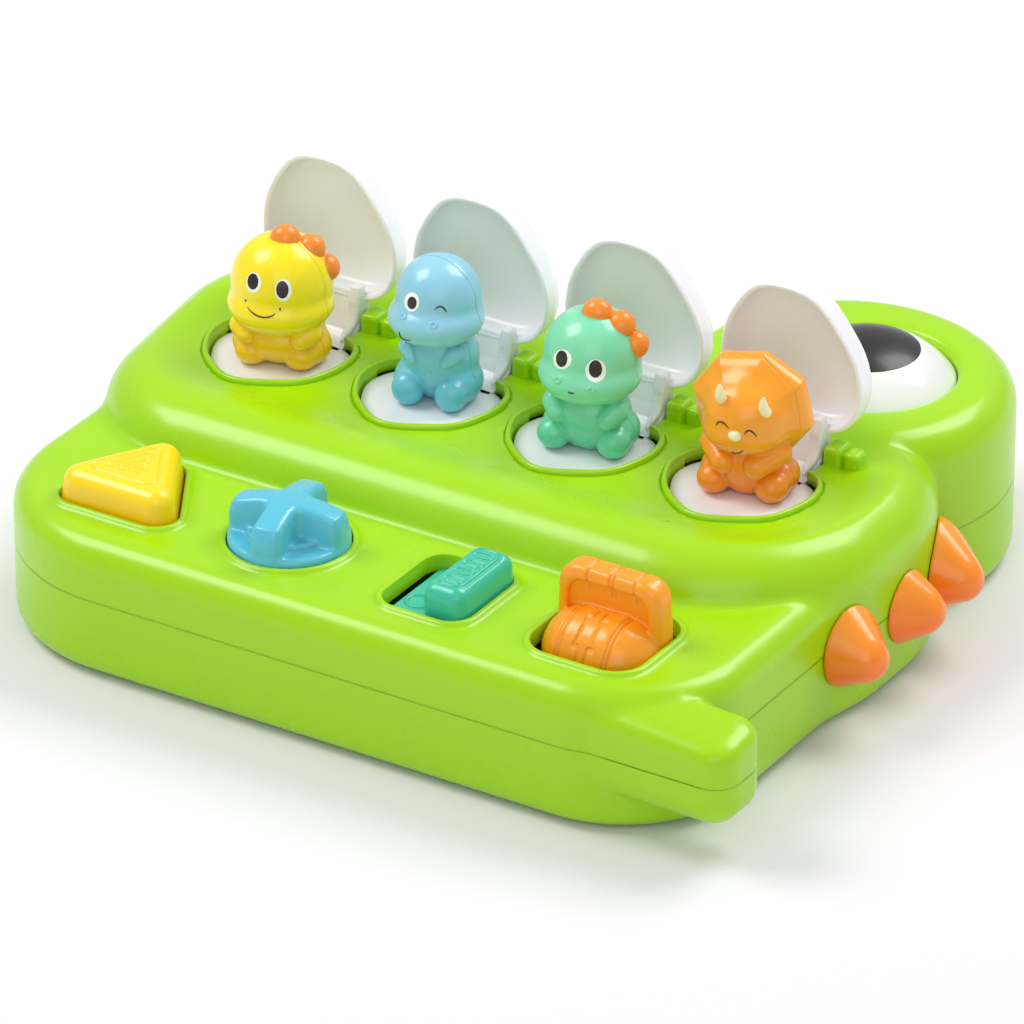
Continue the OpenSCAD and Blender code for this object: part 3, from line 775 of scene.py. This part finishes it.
# Each figure in mm round its foot point. Eggs are (centre, radii); limbs are one of a pair.
FIGURES = [
    dict(head=((0, 0.3, 27.5), (16.8, 16.6, 16.3)), muzzle=((0, -1.2, 20.6), (17.4, 17.2, 9.4)),
         body=((0, 1, 8.5), (14, 13.4, 9.5)),
         foot=((8.2, -6.6, 4.6), (5.8, 5.8, 4.8)), leg=((11.2, -0.5, 5.4), (5.2, 8, 5.6)),
         arm=((12, -6.8, 13), (9, -9.8, 11.4), 3.7, 3.2)),
    dict(head=((0, 0, 36), (14, 14, 14)), muzzle=((0, -2.6, 30), (15.6, 15.4, 8.6)),
         body=((0, 1.5, 14), (12.6, 11.8, 15)),
         foot=((7.4, -9, 5.6), (5.4, 4.6, 5.6)), leg=((8.4, -0.5, 6.6), (6, 10, 6.6)),
         arm=((8, -6.8, 19.4), (5.6, -9.4, 17), 3.2, 1.8)),
    dict(head=((0, 0.5, 32.5), (15.8, 15.8, 14.5)), muzzle=((0, -2.1, 26), (16.6, 16.4, 9)),
         body=((0, 0, 11), (12.5, 12.5, 12.5)),
         foot=((10, -7.8, 5.2), (5.6, 5.8, 5.3)), leg=((10, -1, 6.2), (5.8, 9, 6.2)),
         arm=((10.4, -6.4, 15.6), (8.2, -9.4, 13.4), 4, 3.4)),
    dict(head=((0, -2.4, 28.6), (14.8, 15, 12.6)), muzzle=((0, -4.6, 24), (14, 13.6, 8.4)),
         body=((0, -0.5, 11), (11.8, 11.8, 12.5)),
         foot=((9.6, -7.4, 5), (5.6, 6, 5.1)), leg=((10.6, -0.5, 5.8), (5.4, 8, 5.8)),
         arm=((11.2, -5.2, 16.4), (5.4, -10.8, 13), 4, 4.2)),
]
FRILL = ((0, 1.5, 28.2), (20.4, 10.4, 19.2))
FRILL_SIDES = 8


def turned(i, x, y):
    """x and y in the frame of figure i, which is turned on its plate."""
    a = math.radians(FIGURE_TURN[i])
    return x * math.cos(a) + y * math.sin(a), y * math.cos(a) - x * math.sin(a)


def figure_field(i):
    spec = FIGURES[i]

    def field(x, y, z):
        x, y = turned(i, x, y)
        side = np.abs(x)
        head = egg_field(side, y, z, *spec["head"])
        if i == 3:
            step = 2 * math.pi / FRILL_SIDES
            corner = (np.arctan2(z - FRILL[0][2], x) + step / 4) % step - step / 2
            flat = math.cos(step / 2) / np.cos(corner)
            spread = [(v - c) / (flat if k != 1 else 1) + c
                      for k, (v, c) in enumerate(zip((x, y, z), FRILL[0]))]
            head = blend_min(head, egg_field(*spread, *FRILL), 3)
        head = blend_min(head, egg_field(side, y, z, *spec["muzzle"]), 1.4)
        body = blend_min(egg_field(side, y, z, *spec["body"]), egg_field(side, y, z, *spec["leg"]), 1.5)
        body = blend_min(body, egg_field(side, y, z, *spec["foot"]), 0.8)
        body = blend_min(body, rod_field(side, y, z, *spec["arm"]), 0.6)
        return blend_max(blend_min(head, body, 0.8), -z, 1)
    return field


def seam_groove(points, reach=0.7, depth=0.25):
    """Draws the skin in a little on both sides of the seam plane y = 0."""
    y = points[:, 1]
    near = np.clip(1 - np.abs(y) / reach, 0, 1) ** 2
    middle = points.mean(0)
    out = points - middle
    out[:, 1] = 0
    out /= np.maximum(length(*out.T), 1e-6)[:, None]
    return points - out * (near * depth)[:, None]


def half_of(shape, front, gap=0.1):
    """The part of a closed shape on one side of the plane y = 0, closed again."""
    graph = bmesh.new()
    vertices = [graph.verts.new(p) for p in shape[0]]
    for face in shape[1]:
        graph.faces.new([vertices[k] for k in face])
    cutting = bmesh.ops.bisect_plane(
        graph, geom=graph.verts[:] + graph.edges[:] + graph.faces[:], plane_co=(0, -gap if front else gap, 0),
        plane_no=(0, 1 if front else -1, 0), clear_outer=True)
    edges = [e for e in cutting["geom_cut"] if isinstance(e, bmesh.types.BMEdge)]
    bmesh.ops.holes_fill(graph, edges=edges)
    graph.verts.index_update()
    points = np.array([v.co for v in graph.verts])
    faces = [[v.index for v in f.verts] for f in graph.faces]
    graph.free()
    return points, faces


CREST_TURN = {0: 60, 2: 75}               # the way a crest runs, from straight back
CREST_ANGLES = (4, 38, 71)                # of its lumps, from the top of the head


def crest_field(i):
    """Three lumps from the top of the head down its side, each a little smaller than the one before."""
    (cx, cy, cz), (_, ry, rz) = FIGURES[i]["head"]
    aside = math.radians(CREST_TURN[i])

    def field(x, y, z):
        lumps = None
        x, y = x * math.cos(aside) - y * math.sin(aside), y * math.cos(aside) + x * math.sin(aside)
        for k, a in enumerate(CREST_ANGLES):
            a = math.radians(a)
            size = (4.6, 5.2 - 0.3 * k, 5.2 - 0.3 * k)
            lump = egg_field(x, y, z, (cx, cy + 0.9 * math.sin(a) * ry, cz + 0.9 * math.cos(a) * rz), size)
            lumps = lump if lumps is None else blend_min(lumps, lump, 0.3)
        return lumps
    return field


def place_of(i):
    return np.array((LID_X[i] + FIGURE_X, FIGURE_Y[i], PLATE_TOP))


def make_figures():
    for i in range(4):
        place, body = place_of(i), f"popup_{i + 1}"
        points, faces = solid(figure_field(i), (-20, -20, 0), (20, 20, 53), 0.5)
        points = seam_groove(points)
        for front in (True, False):
            side = "front" if front else "back"
            name = f"figure_{i + 1}_{side}"
            half = half_of((points, faces), front)
            piece(f"dino_{i + 1}_{side}", moved(half, place), FIGURE_COLOURS[i], body, [name], sharp=60)
        if i in (0, 2):
            crest = solid(crest_field(i), (-8, -8, 24), (24, 20, 54), 0.35)
            piece(f"dino_{i + 1}_crest", moved(crest, place), CREST, body, [f"figure_{i + 1}_crest"])


make_figures()


# ---------- faces ----------

# Paint on the figures, as the camera sees it: spots are (centre, half sizes), lines are paths;
# right and up of the foot point.
FACES = [
    dict(black=[((-8.9, 23.3), (1.8, 2.6)), ((0.6, 20.6), (2, 2.8))],
         white=[((-8.7, 23), (2.4, 3.3)), ((0.9, 20.4), (2.7, 3.5))],
         lines=[[(-10.8, 15.2), (-8.7, 13), (-6.1, 11.8), (-3.8, 12), (-1.7, 13)]],
         spots=[((-11.4, 17.3), (0.3, 0.45)), ((-0.2, 14.4), (0.35, 0.5))]),
    dict(black=[((-8.5, 29), (1.5, 2))], white=[((-8.6, 29.3), (2.4, 3.1))],
         lines=[[(-1.3, 26.8), (0.4, 27.8), (1.6, 27.3), (2.5, 26)],
                [(-12.6, 20), (-12.2, 18.4), (-10.9, 17.4), (-8.8, 17.1)]], spots=[]),
    dict(black=[((-9.9, 25.6), (1.8, 2.6)), ((0.7, 22.3), (2.1, 2.8))],
         white=[((-9.7, 25.4), (2.9, 3.1)), ((0.8, 21.7), (3.3, 3.6))],
         lines=[[(-8, 15.2), (-7, 14.7), (-6, 14.9)]], spots=[]),
    dict(black=[], white=[],
         lines=[[(-11.6, 18.5), (-10.7, 19.6), (-9.4, 19.4), (-7.7, 17.6)],
                [(-2.8, 15.7), (-1.8, 16.8), (-0.5, 16.6), (1.1, 14.9)],
                [(-6.6, 10.4), (-5, 9.8), (-3, 10.8)]], spots=[]),
]
NOSTRILS = {1: [(-11.4, 24.8), (-1.7, 21.9)], 2: [(-11.2, 18.9), (-0.7, 15.7)]}
HORNS = [(-10.1, 27), (4.4, 22.5)]
HORN_PATH = [(0, 0, 0), (0, -1, 1), (0, -1.8, 2.6), (0, -2, 4.4), (0, -1.8, 6)]
HORN_RADII = [1.9, 1.9, 1.7, 1.2, 0.5]
NOSE = (-5.9, 15.2)


def face_tree(i):
    """A search tree of figure i's front and back skin."""
    points, faces = [], []
    for side in ("front", "back"):
        mesh = bpy.data.objects[f"dino_{i + 1}_{side}"].data
        start = len(points)
        points += [Vector(np.array(v.co) / MM + ORIGIN) for v in mesh.vertices]
        faces += [[k + start for k in f.vertices] for f in mesh.polygons]
    return BVHTree.FromPolygons(points, faces)


def make_faces():
    for i, face in enumerate(FACES):
        tree, foot, body = face_tree(i), place_of(i), f"popup_{i + 1}"
        layers = [("whites", PAINT_WHITE, [painted_spot(tree, foot, *spot, 0.06) for spot in face["white"]]),
                  ("pupils", PAINT_BLACK, [painted_spot(tree, foot, *spot, 0.13) for spot in face["black"]]
                   + [painted_spot(tree, foot, *spot, 0.06, 2, 12) for spot in face["spots"]]
                   + [painted_line(tree, foot, path) for path in face["lines"]])]
        for centre in NOSTRILS.get(i, []):
            ring = [on_skin(tree, foot, centre[0] + 0.95 * math.cos(a), centre[1] + 0.8 * math.sin(a), -0.1)
                    for a in (2 * math.pi * k / 20 for k in range(20))]
            layers.append((f"nostril_{len(layers)}", FIGURE_COLOURS[i], [tube(ring, 0.5, 8, closed=True)]))
        if i == 3:
            horns = []
            for right, up in HORNS:
                base = on_skin(tree, foot, right, up, -1.0)
                horns.append(tube([base + step for step in HORN_PATH], HORN_RADII, 16))
            at = on_skin(tree, foot, *NOSE, -0.8)
            nose = solid(lambda x, y, z: egg_field(x, y, z, at, (2.3, 2.1, 1.9)), at - 3, at + 3, 0.3)
            layers += [("horns", CREAM, horns), ("nose", CREAM, [nose])]
        for name, material, shapes in layers:
            if shapes:
                piece(f"face_{i + 1}_{name}", merged(*shapes), material, body, sharp=60)


make_faces()


# ---------- eye and spine ----------

def eye_shape(inner, outer, z_lift=0.0, depth=4.0, rings=14, around=96):
    """A band of the domed eye between two radii round (cx, cy), closed below."""
    (cx, cy, r_in), (ox, oy, r_out) = inner, outer
    radius = (EYE[2] ** 2 + EYE_H ** 2) / (2 * EYE_H)
    top = HEAD_Z - 4 + EYE_H

    def dome(x, y):
        d2 = (x - EYE[0]) ** 2 + (y - EYE[1]) ** 2
        return top - radius + math.sqrt(max(radius ** 2 - d2, 1)) + z_lift
    circles = []
    for k in range(rings + 1):
        t = k / rings
        x0, y0, r = cx + (ox - cx) * t, cy + (oy - cy) * t, r_in + (r_out - r_in) * t
        circles.append([(x0 + r * math.cos(a), y0 + r * math.sin(a))
                        for a in (2 * math.pi * j / around for j in range(around))])
    upper = [[(x, y, dome(x, y)) for x, y in c] for c in circles]
    lower = [[(x, y, dome(x, y) - depth) for x, y in c] for c in circles]
    return outward(loft(upper + lower[::-1], closed=r_in > 0.5))


piece("eye_white_dome", eye_shape(PUPIL, (EYE[0], EYE[1], EYE[2] - 0.3)), EYE_WHITE, "case", ["eye_ball"])
piece("eye_pupil_dome", eye_shape((*PUPIL[:2], 0.2), (*PUPIL[:2], PUPIL[2] - 0.1), z_lift=0.02),
      EYE_BLACK, "case", ["eye_pupil"])


def spike_field_at(at_y, lean):
    """A fat rounded cone with a soft ridge that leans out of the wall, and its stem through it."""
    def field(x, y, z):
        cone = rod_field(x, y, z, (-7, 0, -0.5), (7.6, lean, -0.8), 15, 7.4)
        ridge = rod_field(x, y, z, (-6, 0.5, 6), (7, lean + 0.5, 2.4), 10, 5.4)
        body = blend_min(cone, ridge, 1.5)
        wall = case_field(x + SPIKE_X, y + at_y, z + SPIKE_Z)
        root = np.maximum(length(y, z) - 3.7, np.abs(x) - 7)
        return np.minimum(blend_max(body, 0.15 - wall, 1.0), root)
    return field


for k, (spike_y, lean) in enumerate(zip(SPIKE_Y, SPIKE_LEAN)):
    spike = solid(spike_field_at(spike_y, lean), (-12, -19, -16), (17, 16, 18), 0.6)
    spike = moved(spike, (SPIKE_X, spike_y, SPIKE_Z))
    piece(f"spine_cone_{k + 1}", spike, SPIKE, "case", [f"spine_spike_{k + 1}"])


# ---------- buttons ----------

def button_place(i):
    return np.array((BUTTON_X[i], BUTTON_Y, DECK_Z))


def nearest_of(fields, x, y, z):
    shape = np.broadcast(x, y, z).shape
    return np.minimum.reduce([np.broadcast_to(f, shape) for f in fields])


def push_field(x, y, z):
    """The triangular button: draught on its walls, a soft edge, engraved lines on top."""
    top = 11
    outline = polygon_field(x, y, TRIANGLE) - TRIANGLE_ROUND + np.maximum(z, -2) * 0.13 + 0.2
    body = slab_field(outline, z, -8, top, 4.6, 1)
    frame_line = polygon_field(x, y, [(a * 0.62, b * 0.62) for a, b in TRIANGLE]) - 3.2
    lines = [np.abs(frame_line)]
    up_left = (14 / 28.1, 24.3 / 28.1)
    for k, half in enumerate((6.2, 3.4, 0.9)):
        centre = (-3.4 + 3.3 * k, 1.6 - 2.2 * k)
        ends = [(centre[0] - up_left[0] * half, centre[1] - up_left[1] * half),
                (centre[0] + up_left[0] * half, centre[1] + up_left[1] * half)]
        lines.append(np.abs(rod_field(x, y, 0, (*ends[0], 0), (*ends[1], 0), 1.2, 1.2)))
    return groove(body, nearest_of(lines, x, y, z), 0.3, 0.55)


def knob_field(x, y, z):
    """A cross of broad, almost flat ridges on a round base."""
    a = math.radians(KNOB_TURN)
    u, v = x * math.cos(a) + y * math.sin(a), y * math.cos(a) - x * math.sin(a)
    side = length(x, y) - 19.6
    dome = length(x, y, z - (KNOB_TOP - CROWN_R)) - CROWN_R
    crown = np.maximum(slab_field(side, z, -6, KNOB_TOP, 8.5, 0.5), dome)
    arms = blend_min(np.abs(u) - 4.8 - (16 - z) * 0.05, np.abs(v) - 4.8 - (16 - z) * 0.05, 3)
    cross = blend_max(crown, arms, 2.6)
    base = slab_field(side, z, -6, 3.6, 1.8, 0.5)
    ledge = slab_field(length(x, y) - 13.5, z, -6, 5.6, 1, 0.5)
    return blend_min(cross, blend_min(base, ledge, 0.5), 1.6)


def slide_field(x, y, z):
    """The sliding plate with its grip block, a ring on the plate and marks on the block."""
    plate = box_field(x, y, z, (-12, 26), (-20.5, 18), (-6, -3.4), 0.5)
    ring = np.maximum(np.abs(length(x + 6, y + 6) - 4) - 0.45, np.abs(z + 3.3) - 0.5)
    lean = np.maximum(z, 0) * 0.04
    block = box_field(x, y, z, (0.8, 16.4), (-17, 16.6), (-4, 10.6), 4.6) + lean
    lines = [np.abs(box_field(x, y, 0 * z, (3.8, 13.4), (-12.8, 12.8), (-9, 9), 3.4))]
    for k in range(4):
        yk = -8.8 + 5.8 * k
        lines.append(np.abs(rod_field(x, y, 0, (6.9, yk, 0), (10.3, yk, 0), 1.6, 1.6)))
    block = groove(block, nearest_of(lines, x, y, z) + np.maximum(6 - z, 0), 0.28, 0.55)
    return blend_min(blend_min(plate, ring, 0.3), block, 1.2)


# The arrow engraved on the lever's barrel.
ARROW = [(-1.5, 9.6), (1.5, 9.6), (1.5, 16.4), (3.8, 16.4), (0, 20.8), (-3.8, 16.4), (-1.5, 16.4)]


def flip_field(x, y, z):
    """A barrel along X with round ends, and behind it an arched paddle; z = 0 is the pin."""
    bulge = np.maximum(np.abs(x) - 5.5, 0)
    barrel = np.maximum(length(bulge, y + 2, z + 0.5) - 14, np.abs(x) - 18.5)
    arch = polygon_field(x, z, rounded([(-11.4, 18.4), (-12.2, 0), (12.2, 0), (11.4, 18.4)], 7))
    paddle = blend_max(arch, np.abs(y - 6) - 5, 3.4)
    panel = polygon_field(x, z, rounded([(-9, 15.6), (-9.6, 0), (9.6, 0), (9, 15.6)], 5.4))
    paddle = blend_max(paddle, -np.maximum(panel, y - 2.8), 0.8)
    straps = nearest_of([np.abs(x - c) for c in (-7.6, 0.4, 1.8, 9.2)], x, y, z)
    paddle = groove(paddle, straps + np.maximum(17 - z, 0), 0.26, 0.45)
    bands = nearest_of([np.abs(x - c) for c in (-9.2, -7.9, 7.9, 9.2)], x, y, z)
    barrel = groove(barrel, bands, 0.26, 0.5)
    arrow = polygon_field(x, z - 0.7 * y, ARROW)
    barrel = groove(barrel, np.abs(arrow) + np.maximum(y, 0), 0.26, 0.5)
    body = blend_min(barrel, paddle, 1.2)
    return np.maximum(body, PIN_HOLE_R - length(y, z))


def stem(x, y, r, z0, z1):
    return outward(prism(circle(x, y, r, 32), z0, z1))


def make_buttons():
    stem_top, stem_low = DECK_Z - 7.5, 11.8
    push = merged(moved(solid(push_field, (-22, -18, -8), (22, 23, 11), 0.4), button_place(0)),
                  stem(BUTTON_X[0], BUTTON_Y, 3, stem_low, stem_top))
    piece("push_triangle", push, YELLOW, "push", ["push_button"], sharp=60)
    knob = merged(moved(solid(knob_field, (-20, -20, -6), (20, 20, 17), 0.45), button_place(1)),
                  stem(BUTTON_X[1], BUTTON_Y, KNOB_HOLE + 2, DECK_Z - 8, DECK_Z - 5.9),
                  stem(BUTTON_X[1], BUTTON_Y, 4, stem_low, stem_top))
    piece("knob_cross", knob, BLUE, "knob", ["rotary_knob"], sharp=60)
    slide = merged(moved(solid(slide_field, (-12, -21, -6), (26, 18, 11), 0.4), button_place(2)),
                   stem(BUTTON_X[2] + 5.5, BUTTON_Y, 3, stem_low, DECK_Z - 5.5))
    piece("slide_block", slide, TEAL, "slider", ["slide_button"], sharp=60)
    flip = solid(flip_field, (-19, -16.2, -15), (19, 12, 26), 0.4)
    flip = moved(flip, (BUTTON_X[3], BUTTON_Y, FLIP_Z))
    piece("flip_paddle", flip, AMBER, "flip", ["flip_lever"], sharp=60)


make_buttons()


# ---------- springs and hidden parts ----------

def make_springs():
    for i, x in enumerate(LID_X):
        lid = coil((x + BOSSES[0][1] + 0.5, HINGE_Y, HINGE_Z), "x", 2.35, 0.42, 5, 5.5)
        piece(f"lid_coil_{i + 1}", lid, STEEL, "case", [f"lid_spring_{i + 1}"])
        latch = coil((x, -40, 6.5), "z", 3.8, 0.45, 4, 5)
        piece(f"latch_coil_{i + 1}", latch, STEEL, "case", [f"latch_spring_{i + 1}"])
    base = (BUTTON_X[0], BUTTON_Y, PUSH_SEAT_Z)
    push = coil(base, "z", 4.1, 0.5, 6, DECK_Z - 10 - PUSH_SEAT_Z)
    made = piece("push_coil", push, STEEL, "case", ["push_spring"])
    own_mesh(made)


make_springs()
CARRIED = {"hinge_pin": STEEL, "flip_pin": STEEL, "case_screws": STEEL, "latch_lever": GREY_PLASTIC,
           "rubber_feet": RUBBER}
for name, node in frame["nodes"].items():
    for start, material in CARRIED.items():
        if name.startswith(start):
            node.data.materials.clear()
            node.data.materials.append(material)


# ---------- camera, light and floor ----------

def make_camera():
    camera = bpy.data.objects.new("camera", bpy.data.cameras.new("camera"))
    axes = [Vector(axis).normalized() for axis in (CAMERA_RIGHT, CAMERA_UP, CAMERA_BACK)]
    turn = Matrix(axes).transposed()
    camera.matrix_world = Matrix.Translation((CAMERA_AT - ORIGIN) * MM) @ turn.to_4x4()
    camera.data.lens = LENS
    camera.data.sensor_width = 36
    camera.data.clip_start = 0.1
    camera.data.clip_end = 20
    bpy.context.scene.collection.objects.link(camera)
    bpy.context.scene.camera = camera


def soft_light(name, at, size, power, colour=(1, 1, 1)):
    lamp = bpy.data.lights.new(name, "AREA")
    lamp.size = size
    lamp.energy = power
    lamp.color = colour
    made = bpy.data.objects.new(name, lamp)
    made.location = at
    made.rotation_mode = "QUATERNION"
    made.rotation_quaternion = (Vector((0, 0, 0.03)) - Vector(at)).to_track_quat("-Z", "Y")
    bpy.context.scene.collection.objects.link(made)


def white_for_camera(tree, shader_out, target, strength, inputs=("Is Camera Ray", "Is Glossy Ray")):
    """Adds plain white, seen only by the camera and in reflections, to a shader."""
    nodes, links = tree.nodes, tree.links
    path = nodes.new("ShaderNodeLightPath")
    seen = nodes.new("ShaderNodeMath")
    seen.operation = "MAXIMUM"
    for k, name in enumerate(inputs):
        links.new(path.outputs[name], seen.inputs[k])
    glow = nodes.new("ShaderNodeEmission")
    amount = nodes.new("ShaderNodeMath")
    amount.operation = "MULTIPLY"
    amount.inputs[1].default_value = strength
    links.new(seen.outputs[0], amount.inputs[0])
    links.new(amount.outputs[0], glow.inputs["Strength"])
    both = nodes.new("ShaderNodeAddShader")
    links.new(shader_out, both.inputs[0])
    links.new(glow.outputs[0], both.inputs[1])
    links.new(both.outputs[0], target)


def make_world():
    world = bpy.data.worlds.new("studio")
    bpy.context.scene.world = world
    world.use_nodes = True
    back = world.node_tree.nodes["Background"]
    back.inputs["Color"].default_value = (1, 1, 1, 1)
    path = world.node_tree.nodes.new("ShaderNodeLightPath")
    level = world.node_tree.nodes.new("ShaderNodeMapRange")
    level.inputs["To Min"].default_value = 0.55
    level.inputs["To Max"].default_value = 1.0
    world.node_tree.links.new(path.outputs["Is Camera Ray"], level.inputs["Value"])
    world.node_tree.links.new(level.outputs["Result"], back.inputs["Strength"])


def make_floor():
    material = bpy.data.materials.new("floor_white")
    material.use_nodes = True
    tree = material.node_tree
    shader = tree.nodes["Principled BSDF"]
    shader.inputs["Base Color"].default_value = (0.78, 0.77, 0.8, 1)
    shader.inputs["Roughness"].default_value = 0.9
    shader.inputs["Specular IOR Level"].default_value = 0.1
    white_for_camera(tree, shader.outputs[0], tree.nodes["Material Output"].inputs["Surface"], 0.02)
    floor = piece("floor", box_prism((-4000, 4000), (-4000, 6000), -2, -0.01), material)


make_camera()
soft_light("key_left", (-1.1, -0.4, 1.6), 0.9, 17)
soft_light("fill_front", (0.9, -1.6, 1.1), 1.4, 7)
soft_light("top_back", (0.5, 1.1, 1.6), 1.0, 20)
make_world()
make_floor()
bpy.context.scene.view_settings.view_transform = "Standard"
